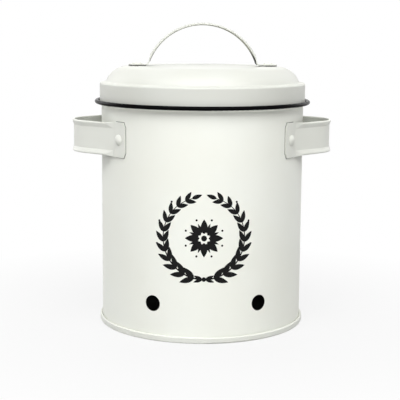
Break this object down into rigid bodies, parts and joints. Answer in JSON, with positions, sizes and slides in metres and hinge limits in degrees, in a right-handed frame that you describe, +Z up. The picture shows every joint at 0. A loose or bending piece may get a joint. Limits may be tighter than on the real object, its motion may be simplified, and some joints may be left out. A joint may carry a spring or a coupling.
{
  "type": "food storage tin",
  "caption": "Round painted steel storage tin with a domed lift-off lid, strap handles on the sides and lid, a black rolled rim and air holes low in the wall.",
  "frame": {"origin": "on the table under the middle of the tin", "axes": "+Z up, front toward -Y, side handles along +X and -X"},
  "size_m": [0.219, 0.1814, 0.2526],
  "materials": {
    "cream_paint": "satin cream-white powder coat",
    "black_paint": "gloss black",
    "bare_steel": "bare drawn wire"
  },
  "bodies": {
    "tin": {"body_wall": "cream_paint", "base_pan": "cream_paint", "rim_bead": "black_paint", "rim_wire": "bare_steel", "right_handle": "cream_paint", "left_handle": "cream_paint", "right_handle_front_rivet": "cream_paint", "right_handle_rear_rivet": "cream_paint", "left_handle_front_rivet": "cream_paint", "left_handle_rear_rivet": "cream_paint"},
    "lid": {"lid_shell": "cream_paint", "lid_handle": "cream_paint", "lid_handle_left_rivet": "cream_paint", "lid_handle_right_rivet": "cream_paint"}
  },
  "joints": [
    {"name": "lid_lift", "type": "slide", "parent": "tin", "child": "lid", "axis": [0, 0, 1], "range_m": [0, 0.12]}
  ]
}
